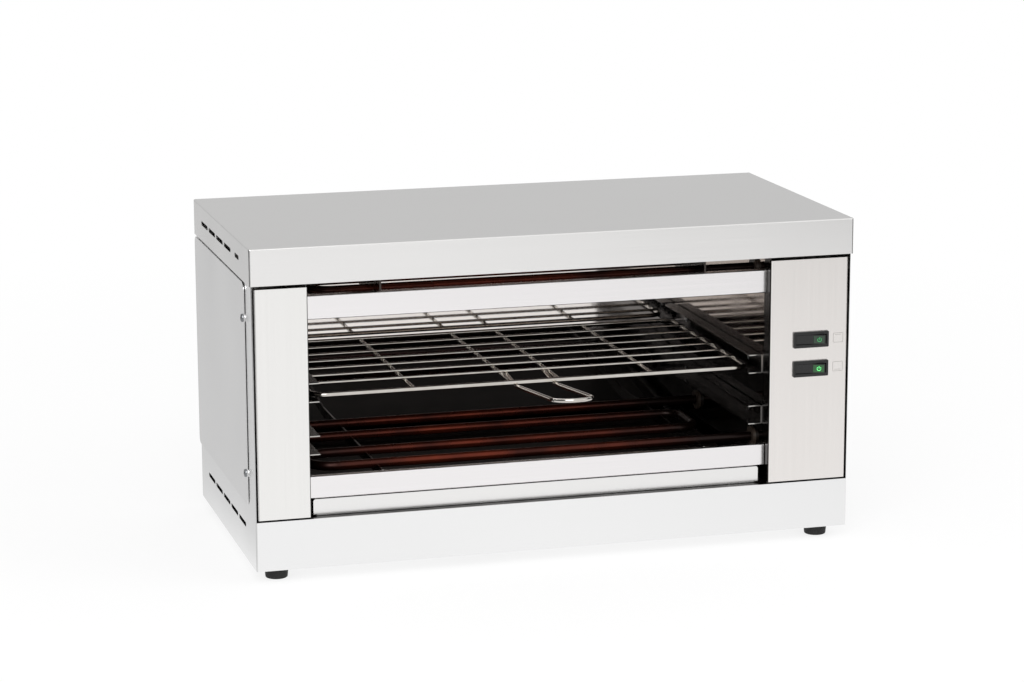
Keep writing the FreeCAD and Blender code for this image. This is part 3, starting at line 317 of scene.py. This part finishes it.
# outer case: annealed sheet, its grain along the fold
caseSteel = satinSheet("annealedCaseSheet", "x", ("#F1F0EF", "#ECEBEA"), (0.2, 0.26))
sideSteel = satinSheet("annealedSideSheet", "y", ("#F6F6F6", "#F2F2F2"), (0.2, 0.26))
coverSteel = satinSheet("annealedCoverSheet", "y", ("#F1F0F0", "#ECECEC"), (0.2, 0.26))
barSteel = satinSheet("brightBarSheet", "x", ("#F6F3F4", "#F0EEEE"), (0.16, 0.22))   # a brighter roll
# pillar and panel: painted shade on the inner return beside the opening
pillarSteel = satinSheet("annealedPillarSheet", "z", ("#F5F4F2", "#F0EFED"), (0.2, 0.26), (-214.6, -214.9))
panelSteel = satinSheet("annealedPanelSheet", "z", ("#F1EDEA", "#ECE8E5"), (0.2, 0.26), (188.6, 188.9))
# chamber: polished sheet, darkened below the rack with painted shade
chamberSteel = chamberSheet("paintedShadeChamber", "#A59C95", ("#34302E", "#242120"), (0.05, 0.12), 70)
ceilingSteel = chamberSheet("polishedChamberCeiling", "#B8B0AA", ("#9C938C", "#847B74"), (0.06, 0.14), 70)
# deck and tray runners: painted shade all over, where they show in the gap under the tray, with cloudy stains
deckSteel = chamberSheet("paintedShadeDeck", "#2A2826", ("#2A2826", "#1B1918"), (0.25, 0.4), 30)
# rails, heater supports and hangers: painted shade, with a painted highlight on their front faces
railSteel = paintedShadeSheet("paintedShadeRails", ("#4A4644", "#2E2A28"), "#C9C6C2", (0.14, 0.26), 25)
hangerSteel = paintedShadeSheet("paintedShadeHangers", ("#3C3835", "#282422"), "#4A4542", (0.2, 0.3), 25)
backSteel = bowedBackWall()
traySteel = paintedShadeTray()
sheath = heaterSheath()
# bright chrome plate on drawn steel wire: a mirror with faint draw marks and a warm cast from heat
wireChrome = cloudyFinish("chromePlatedWire", {"Metallic": 1.0}, ("#D9D6D2", "#B9B2A9"), (0.07, 0.16), 14)
# injection-moulded nylon with a spark-eroded texture: deep black with a soft sheen
switchPlastic = mouldedPart("blackSwitchNylon", ("#0C0C0D", "#151516"), (0.25, 0.36), 0.5)
glandPlastic = mouldedPart("blackGlandNylon", ("#121213", "#1C1C1D"), (0.5, 0.62), 0.6)
# compression-moulded rubber: a dull grey-black
footRubber = mouldedPart("blackFootRubber", ("#101010", "#1A1A1A"), (0.6, 0.8), 0.8)
# pressed and fired steatite, dark brown at the heaters and glazed at the block
steatite = mouldedPart("darkBrownSteatite", ("#4A4038", "#352C26"), (0.3, 0.45), 1.2)
blockCeramic = mouldedPart("glazedBlockCeramic", ("#E9E5DB", "#DDD8CB"), (0.22, 0.4), 1.2)
# screen-printed ink: a pale grey line that dries slightly rough
printInk = mouldedPart("greyPrintInk", ("#A9A6A2", "#9C9995"), (0.5, 0.6), 0.4)
# the upper switch is off: its symbol and lens carry a faint painted glow
symbolDim = pilotLens("unlitSymbolGreen", ("#2E8A4E", "#3C9A5C"), 0.15)
symbolLit = pilotLens("litSymbolGreen", ("#5FE07A", "#6BEB86"), 0.6)
lensDim = pilotLens("dimPilotLens", ("#06200F", "#0A2E17"), 0.1)
lensLit = pilotLens("litPilotLens", ("#08300F", "#0B4A1A"), 0.3)
# barrel-plated steel and bare pressed brass: cloudy, slightly uneven shine
zincScrew = cloudyFinish("zincPlatedScrew", {"Metallic": 1.0}, ("#A2A4A6", "#86888B"), (0.2, 0.34), 2.5)
plainBrass = cloudyFinish("plainBrass", {"Metallic": 1.0}, ("#D8B46A", "#B8924C"), (0.25, 0.4), 2.5)

finishes = {
    caseSteel: ["top_cover", "rear_panel"],
    barSteel: ["upper_front_bar", "lower_front_strip"],
    sideSteel: ["chassis"],
    coverSteel: ["left_side_cover", "right_side_cover"],
    pillarSteel: ["left_front_pillar"],
    panelSteel: ["control_panel"],
    chamberSteel: ["cavity_left_wall", "cavity_right_wall"],
    ceilingSteel: ["cavity_ceiling"],
    backSteel: ["cavity_back_wall"],
    deckSteel: ["base_deck", "left_tray_runner", "right_tray_runner"],
    traySteel: ["crumb_tray"],
    railSteel: ["upper_left_rail", "upper_right_rail", "lower_left_rail", "lower_right_rail",
                "lower_right_heater_support", "lower_left_heater_support"],
    hangerSteel: ["upper_right_heater_hanger", "upper_left_heater_hanger"],
    wireChrome: ["rack_frame", "rack_cross_wires", "rack_long_wires", "rack_handle"],
    sheath: ["lower_heater", "upper_heater"],
    steatite: ["lower_heater_bushes", "upper_heater_bushes"],
    blockCeramic: ["terminal_block"],
    switchPlastic: ["upper_switch_body", "lower_switch_body", "upper_rocker", "lower_rocker"],
    lensDim: ["upper_rocker_lens"],
    lensLit: ["lower_rocker_lens"],
    footRubber: ["front_left_foot", "front_right_foot", "rear_left_foot", "rear_right_foot"],
    glandPlastic: ["cord_gland", "cord_gland_nut"],
    zincScrew: ["rail_rivets", "foot_screws", "side_cover_screws", "rear_panel_screws", "top_cover_screws",
                "heater_terminals"],
    plainBrass: ["upper_switch_terminals", "lower_switch_terminals"],
}
for material, dressed in finishes.items():
    for name in dressed:
        nodes[name].data.materials.clear()
        nodes[name].data.materials.append(material)
print("stage 2: materials on", sum(len(dressed) for dressed in finishes.values()), "nodes")


# Pieces
def selectOnly(*pieces):
    bpy.ops.object.select_all(action="DESELECT")
    for piece in pieces:
        piece.select_set(True)
    bpy.context.view_layer.objects.active = pieces[0]


def inEditMode(piece, select="SELECT"):
    selectOnly(piece)
    bpy.ops.object.mode_set(mode="EDIT")
    bpy.ops.mesh.select_all(action=select)


def inObjectMode():
    bpy.ops.object.mode_set(mode="OBJECT")


def pickParts(piece, kind, isWanted):
    # edit mode, with only the wanted vertices, edges or faces selected
    inEditMode(piece, "DESELECT")
    bpy.ops.mesh.select_mode(type=kind)
    inObjectMode()
    mesh = piece.data
    for part in {"VERT": mesh.vertices, "EDGE": mesh.edges, "FACE": mesh.polygons}[kind]:
        part.select = isWanted(part)
    bpy.ops.object.mode_set(mode="EDIT")


def copyOf(piece):
    selectOnly(piece)
    bpy.ops.object.duplicate()
    return bpy.context.object


smoothBelow = 35   # degrees between faces that are shaded as one curve


def finishPiece(piece, name, material, body, stands=()):
    # place goes into the mesh, then the piece gets its finish and its body
    selectOnly(piece)
    bpy.ops.object.transform_apply(location=True, rotation=True, scale=True)
    piece.name = name
    piece.data.name = name
    piece.data.materials.clear()
    piece.data.materials.append(material)
    bpy.ops.object.shade_smooth_by_angle(angle=math.radians(smoothBelow))
    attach(piece, body)
    if stands:
        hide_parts(*stands)


merging = {
    "joinWithin": 0.002,   # mm between corners that are one
    "flatWithin": 0.5,     # degrees between triangles of one flat face
}


def mergedCopy(nodeName):
    # a CAD node's mesh as a new piece, its loose triangles joined and its flat faces whole again
    piece = copyOf(nodes[nodeName])
    bpy.ops.object.parent_clear(type="CLEAR_KEEP_TRANSFORM")
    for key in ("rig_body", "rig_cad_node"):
        del piece[key]
    inEditMode(piece)
    bpy.ops.mesh.remove_doubles(threshold=merging["joinWithin"] * mm)
    bpy.ops.mesh.dissolve_limited(angle_limit=math.radians(merging["flatWithin"]))
    inObjectMode()
    return piece


def softCopy(nodeName, name, width, material, body, angle=40):
    # the CAD node again, with the rounded edges of a moulding
    piece = mergedCopy(nodeName)
    bevel = piece.modifiers.new("softEdges", "BEVEL")
    bevel.width = width * mm
    bevel.segments = 3
    bevel.limit_method = "ANGLE"
    bevel.angle_limit = math.radians(angle)
    bevel.use_clamp_overlap = True
    selectOnly(piece)
    bpy.ops.object.modifier_apply(modifier=bevel.name)
    finishPiece(piece, name, material, body, [nodeName])


switches = {
    "symbols": {"upper": symbolDim, "lower": symbolLit},
    "housingRound": 0.5, "keyRound": 0.45,
    "tilt": 9.0,               # degrees, a rocker at rest
    "faceDrop": 1.6, "faceRun": 13.0,   # the lens end of a rocker's face falls back by this slope
    "pivotX": 225.5, "pivotY": -89.18,
    "pivotZ": {"upper": 178.8, "lower": 153.3},
    "symbolAlong": 7.6,        # from the pivot along the rocker's face
    "symbolOut": 5.36,         # from the pivot out of the face
    "ringRadius": 1.75, "ringWire": 0.3,
    "gapFrom": 0.9,            # share of the ring's radius above which it is open
    "barLength": 2.2, "barWidth": 0.55, "barRound": 0.08,
    "barRise": 0.62,           # share of the ring's radius
}


def powerSymbol(level, material):
    # an open ring with a short bar, raised a hair out of the lens
    lean = math.radians(-switches["tilt"]) + math.atan2(switches["faceDrop"], switches["faceRun"])
    turn = Matrix.Rotation(math.radians(-switches["tilt"]), 3, "Z")
    middle = Vector((switches["pivotX"], switches["pivotY"], switches["pivotZ"][level]))
    place = (middle + turn @ Vector((switches["symbolAlong"], -switches["symbolOut"], 0))) * mm
    radius, wire = switches["ringRadius"] * mm, switches["ringWire"] * mm
    bpy.ops.object.select_all(action="DESELECT")
    bpy.ops.mesh.primitive_torus_add(major_radius=radius, minor_radius=wire, major_segments=40,
                                     minor_segments=8, location=place)
    ring = bpy.context.object
    pickParts(ring, "VERT", lambda vertex: vertex.co.y > switches["gapFrom"] * radius)
    bpy.ops.mesh.delete(type="VERT")
    bpy.ops.mesh.select_all(action="DESELECT")
    bpy.ops.mesh.select_non_manifold()
    bpy.ops.mesh.edge_face_add()
    bpy.ops.mesh.select_all(action="SELECT")
    bpy.ops.transform.resize(value=(1, 1, 0.5))   # pressed flat
    inObjectMode()
    bpy.ops.object.select_all(action="DESELECT")
    bpy.ops.mesh.primitive_cube_add(size=1, location=place)
    bar = bpy.context.object
    inEditMode(bar)
    bpy.ops.transform.resize(value=(switches["barWidth"] * mm, switches["barLength"] * mm, wire))
    bpy.ops.transform.translate(value=(0, switches["barRise"] * radius, 0))
    bpy.ops.mesh.bevel(offset=switches["barRound"] * mm, segments=2)
    inObjectMode()
    selectOnly(ring, bar)
    bpy.ops.object.join()
    upright = Matrix.Rotation(math.radians(90), 3, "X")
    ring.rotation_euler = (Matrix.Rotation(lean, 3, "Z") @ upright).to_euler()
    finishPiece(ring, level + "PowerSymbol", material, level + "_switch")


icons = {
    "face": -91.88,            # the panel's face, Y
    "middleX": 250.65, "width": 9.3, "height": 8.6,
    "middleZ": {"upper": 178.95, "lower": 153.65},
    "line": 0.45, "thick": 0.06, "corner": 1.0,
    "barWidth": 5.6,
    "barShift": {"upper": 2.7, "lower": -2.7},
}


def inkPatch(name, z, width, height):
    # a flat rectangle on the panel's face, left in edit mode
    bpy.ops.object.select_all(action="DESELECT")
    bpy.ops.mesh.primitive_plane_add(size=1, location=(icons["middleX"] * mm, icons["face"] * mm, z * mm),
                                     rotation=(math.radians(90), 0, 0))
    patch = bpy.context.object
    patch.name = name
    patch.scale = (width * mm, height * mm, 1)
    bpy.ops.object.transform_apply(location=True, rotation=True, scale=True)
    inEditMode(patch)
    return patch


def raiseInk():
    bpy.ops.mesh.extrude_region_move(TRANSFORM_OT_translate={"value": (0, -icons["thick"] * mm, 0)})
    bpy.ops.mesh.select_all(action="SELECT")
    bpy.ops.mesh.normals_make_consistent(inside=False)
    inObjectMode()


def switchIcon(level):
    # a thin rounded frame with a bar near its top or bottom, for the upper or the lower heater
    z = icons["middleZ"][level]
    outline = inkPatch(level + "IconOutline", z, icons["width"], icons["height"])
    bpy.ops.mesh.bevel(offset=icons["corner"] * mm, segments=5, affect="VERTICES")
    bpy.ops.mesh.select_all(action="SELECT")
    bpy.ops.mesh.inset(thickness=icons["line"] * mm)
    bpy.ops.mesh.delete(type="FACE")
    bpy.ops.mesh.select_all(action="SELECT")
    raiseInk()
    bar = inkPatch(level + "IconBar", z + icons["barShift"][level], icons["barWidth"], icons["line"])
    raiseInk()
    selectOnly(outline, bar)
    bpy.ops.object.join()
    finishPiece(outline, level + "HeaterIcon", printInk, "casing")


screws = {
    "head": 7.0, "headHeight": 1.4, "domeRound": 1.1,
    "shank": 3.5, "length": 8.0,
    "recessWidth": 0.9, "recessReach": 3.6, "recessDepth": 0.9,
    "firstTurn": 23, "nextTurn": 41,   # degrees, so that no two recesses line up
    "cover": [(side * 262.4, -59.28, z) for side in (-1, 1) for z in (88.0, 220.0)],
    "rear": [(side * 248.1, 166.12, z) for side in (-1, 1) for z in (68.0, 155.5, 243.0)],
    "lid": [(x, 166.72, 258.0) for x in (-180.0, 0.0, 180.0)],
}


def panHeadScrew():
    # one pan-head screw with a cross recess, its head pointing up from the origin
    top = screws["headHeight"] * mm
    bpy.ops.object.select_all(action="DESELECT")
    bpy.ops.mesh.primitive_cylinder_add(vertices=32, radius=screws["head"] / 2 * mm, depth=top,
                                        location=(0, 0, top / 2))
    screw = bpy.context.object
    bpy.ops.object.transform_apply(location=True, rotation=True, scale=True)
    pickParts(screw, "FACE", lambda face: face.normal.z < -0.9)
    bpy.ops.mesh.inset(thickness=(screws["head"] - screws["shank"]) / 2 * mm)
    bpy.ops.mesh.extrude_region_move(TRANSFORM_OT_translate={"value": (0, 0, -screws["length"] * mm)})
    inObjectMode()
    corners = screw.data.vertices
    pickParts(screw, "EDGE", lambda edge: all(corners[v].co.z > 0.99 * top for v in edge.vertices))
    bpy.ops.mesh.bevel(offset=screws["domeRound"] * mm, segments=4)
    inObjectMode()
    for turn in (0, 90):
        bpy.ops.object.select_all(action="DESELECT")
        bpy.ops.mesh.primitive_cube_add(size=1, location=(0, 0, top))
        blade = bpy.context.object
        blade.scale = (screws["recessReach"] * mm, screws["recessWidth"] * mm, 2 * screws["recessDepth"] * mm)
        blade.rotation_euler = (0, 0, math.radians(turn))
        bpy.ops.object.transform_apply(location=True, rotation=True, scale=True)
        carve = screw.modifiers.new("crossRecess", "BOOLEAN")
        carve.operation = "DIFFERENCE"
        carve.solver = "EXACT"
        carve.object = blade
        selectOnly(screw)
        bpy.ops.object.modifier_apply(modifier=carve.name)
        bpy.data.objects.remove(blade)
    return screw


def placeScrews(master, name, spots, aimAt, node):
    copies = []
    for i, spot in enumerate(spots):
        screw = copyOf(master)
        turn = math.radians(screws["firstTurn"] + screws["nextTurn"] * i)
        place = Matrix.Translation(Vector(spot) * mm)
        screw.matrix_world = place @ aimAt(spot) @ Matrix.Rotation(turn, 4, "Z")
        copies.append(screw)
    selectOnly(*copies)
    bpy.ops.object.join()
    finishPiece(copies[0], name, zincScrew, "casing", [node])


def toSide(spot):
    return Matrix.Rotation(math.radians(90 if spot[0] > 0 else -90), 4, "Y")


def toBack(spot):
    return Matrix.Rotation(math.radians(-90), 4, "X")


def allScrews():
    master = panHeadScrew()
    placeScrews(master, "sideCoverScrews", screws["cover"], toSide, "side_cover_screws")
    placeScrews(master, "rearPanelScrews", screws["rear"], toBack, "rear_panel_screws")
    placeScrews(master, "topCoverScrews", screws["lid"], toBack, "top_cover_screws")
    bpy.data.objects.remove(master)


welds = {
    "crossY": [-29.28 + 27.3 * i for i in range(7)],
    "longX": [-118.0, -33.0, 9.0, 92.0],
    "legX": [-28.8, 5.2],
    "edgeX": [-205.0, 179.0],
    "frontY": -60.28, "rearY": 144.72,
    "size": (1.25, 1.6, 0.7),   # half of a bead each way
    "crossingZ": 152.75,        # cross wires on long wires
    "edgeZ": 152.95,            # cross wires on the frame
    "barZ": 149.3,              # long wires and handle legs under the frame
}


def weldBeads():
    # small pressed beads of the spot welds where two wires cross
    spots = [(x, y, welds["crossingZ"]) for x in welds["longX"] for y in welds["crossY"]]
    spots += [(x, y, welds["edgeZ"]) for x in welds["edgeX"] for y in welds["crossY"]]
    spots += [(x, welds["frontY"], welds["barZ"]) for x in welds["longX"] + welds["legX"]]
    spots += [(x, welds["rearY"], welds["barZ"]) for x in welds["longX"]]
    bpy.ops.object.select_all(action="DESELECT")
    bpy.ops.mesh.primitive_ico_sphere_add(subdivisions=2, radius=1 * mm)
    master = bpy.context.object
    inEditMode(master)
    bpy.ops.transform.resize(value=welds["size"])
    inObjectMode()
    beads = []
    for spot in spots:
        bead = copyOf(master)
        bead.location = Vector(spot) * mm
        beads.append(bead)
    selectOnly(*beads)
    bpy.ops.object.join()
    finishPiece(beads[0], "rackWeldBeads", wireChrome, "rack")
    bpy.data.objects.remove(master)


mouldings = {"footRound": 0.9, "glandRound": 0.5}   # mm

for level, material in switches["symbols"].items():
    softCopy(level + "_switch_body", level + "SwitchHousing", switches["housingRound"], switchPlastic,
             "casing")
    softCopy(level + "_rocker", level + "RockerKey", switches["keyRound"], switchPlastic, level + "_switch",
             30)
    powerSymbol(level, material)
    switchIcon(level)
print("stage 3: switches, lenses' symbols and printed icons")
allScrews()
weldBeads()
for first, last in (("front", "left"), ("front", "right"), ("rear", "left"), ("rear", "right")):
    softCopy(f"{first}_{last}_foot", first + last.title() + "RubberFoot", mouldings["footRound"],
             footRubber, "casing")
softCopy("cord_gland", "cordInletGland", mouldings["glandRound"], glandPlastic, "casing")
print("stage 4: screws, weld beads, feet and cord inlet")


# Floor, backdrop and light
studio = {
    "floorSize": 14.0,             # metres, as the lamps' places and sizes
    "keyPlace": (-1.2, -2.6, 2.2), "keySize": 2.4, "keyPower": 46.0,
    "fillPlace": (2.4, -1.4, 1.5), "fillSize": 1.8, "fillPower": 14.0,
    "lampAim": (0, 0, 0.15),
    "front": 0.97,                 # how bright floor and room mirror, before the toaster and behind it
    "floorBack": 0.65, "roomBack": 0.6,
    "floorFade": (-0.1, 0.4),      # Y over which the floor changes
    "leftShade": (-0.27, -0.31),   # X from which the floor at its left side is as dim as behind
    "slant": (0.65, 0.91),         # the floor dims to the right: X, share
    "flagEdge": (0.9, 1.4),        # metres to each side at which the floor is flagged off in reflections
    "roomFlag": (0.5, 0.7),        # the same for the room, as a direction
    "flagLevel": 0.12,
    "paperShare": (0.78, 1.0),     # how far the paper is pure white to the eye, near the toaster and away
    "paperFade": (0.5, 1.4),       # metres
}


def floorMaterial():
    # pale seamless paper: white to the eye with the object's soft shadow left in
    material, tree, spot = startMaterial("paleFloor")
    paper = addNode(tree, "BsdfPrincipled", {"Base Color": "#FFFFFF", "Roughness": 0.9})
    parts = addNode(tree, "SeparateXYZ", None, {"Vector": spot}).outputs
    begin, end = studio["floorFade"]
    depth = addNode(tree, "MapRange", {"From Min": begin, "From Max": end, "To Min": studio["front"],
                                       "To Max": studio["floorBack"]}, {"Value": parts["Y"]})
    begin, end = studio["leftShade"]
    leftOf = addNode(tree, "MapRange", {"From Min": begin, "From Max": end}, {"Value": parts["X"]})
    fade = addNode(tree, "Mix", {"data_type": "FLOAT", 3: studio["floorBack"]}, {0: leftOf, 2: depth})
    reach, share = studio["slant"]
    slant = addNode(tree, "MapRange", {"From Max": reach, "To Min": 1.0, "To Max": share},
                    {"Value": parts["X"]})
    aside = addNode(tree, "Math", {"operation": "ABSOLUTE"}, {0: parts["X"]})
    begin, end = studio["flagEdge"]
    flag = addNode(tree, "MapRange", {"From Min": begin, "From Max": end, "To Min": 1.0,
                                      "To Max": studio["flagLevel"]}, {"Value": aside})
    shaded = addNode(tree, "Math", {"operation": "MULTIPLY"}, {0: fade, 1: flag})
    level = addNode(tree, "Math", {"operation": "MULTIPLY"}, {0: shaded, 1: slant})
    away = addNode(tree, "VectorMath", {"operation": "LENGTH"}, {0: spot})
    begin, end = studio["paperFade"]
    near, far = studio["paperShare"]
    white = addNode(tree, "MapRange", {"From Min": begin, "From Max": end, "To Min": near, "To Max": far},
                    {"Value": away})
    ray = addNode(tree, "LightPath").outputs
    share = addNode(tree, "Math", {"operation": "MULTIPLY"}, {0: ray["Is Camera Ray"], 1: white})
    bare = addNode(tree, "Emission", {"Color": "#FFFFFF", "Strength": 1.0})
    seen = addNode(tree, "MixShader", None, {0: share, 1: paper, 2: bare})
    mirrored = addNode(tree, "Emission", {"Color": "#FFFFFF"}, {"Strength": level})
    indirect = addNode(tree, "Math", {"operation": "MAXIMUM"},
                       {0: ray["Is Glossy Ray"], 1: ray["Is Transmission Ray"]})
    floor = addNode(tree, "MixShader", None, {0: indirect, 1: seen, 2: mirrored})
    addNode(tree, "OutputMaterial", None, {"Surface": floor})
    return material


def softRoom():
    # white to the eye; in the steel it is bright before the toaster, dimmer behind and dark at the sides
    world = bpy.data.worlds.new("softRoom")
    bpy.context.scene.world = world
    world.use_nodes = True
    tree = world.node_tree
    tree.nodes.clear()
    aim = addNode(tree, "TexCoord").outputs["Generated"]
    parts = addNode(tree, "SeparateXYZ", None, {"Vector": aim}).outputs
    fade = addNode(tree, "MapRange", {"From Min": -0.5, "From Max": 0.5, "To Min": studio["front"],
                                      "To Max": studio["roomBack"]}, {"Value": parts["Y"]})
    aside = addNode(tree, "Math", {"operation": "ABSOLUTE"}, {0: parts["X"]})
    begin, end = studio["roomFlag"]
    flag = addNode(tree, "MapRange", {"From Min": begin, "From Max": end, "To Min": 1.0,
                                      "To Max": studio["flagLevel"]}, {"Value": aside})
    shaded = addNode(tree, "Math", {"operation": "MULTIPLY"}, {0: fade, 1: flag})
    ray = addNode(tree, "LightPath").outputs
    indirect = addNode(tree, "Math", {"operation": "MAXIMUM"},
                       {0: ray["Is Glossy Ray"], 1: ray["Is Transmission Ray"]})
    shine = addNode(tree, "Mix", {"data_type": "FLOAT"}, {0: indirect, 2: fade, 3: shaded})
    level = addNode(tree, "Mix", {"data_type": "FLOAT", 3: 1.0}, {0: ray["Is Camera Ray"], 2: shine})
    room = addNode(tree, "Background", {"Color": "#FFFFFF"}, {"Strength": level})
    addNode(tree, "OutputWorld", None, {"Surface": room})


def buildStudio():
    bpy.ops.object.select_all(action="DESELECT")
    bpy.ops.mesh.primitive_plane_add(size=studio["floorSize"])
    floor = bpy.context.object
    floor.name = "paleFloor"
    floor.data.materials.append(floorMaterial())
    for name in ("key", "fill"):
        place = Vector(studio[name + "Place"])
        bpy.ops.object.light_add(type="AREA", location=place)
        lamp = bpy.context.object
        lamp.name = name + "Softbox"
        lamp.rotation_euler = (Vector(studio["lampAim"]) - place).to_track_quat("-Z", "Y").to_euler()
        lamp.data.size = studio[name + "Size"]
        lamp.data.energy = studio[name + "Power"]
    softRoom()


buildStudio()
print("stage 5: floor, lamps and room")
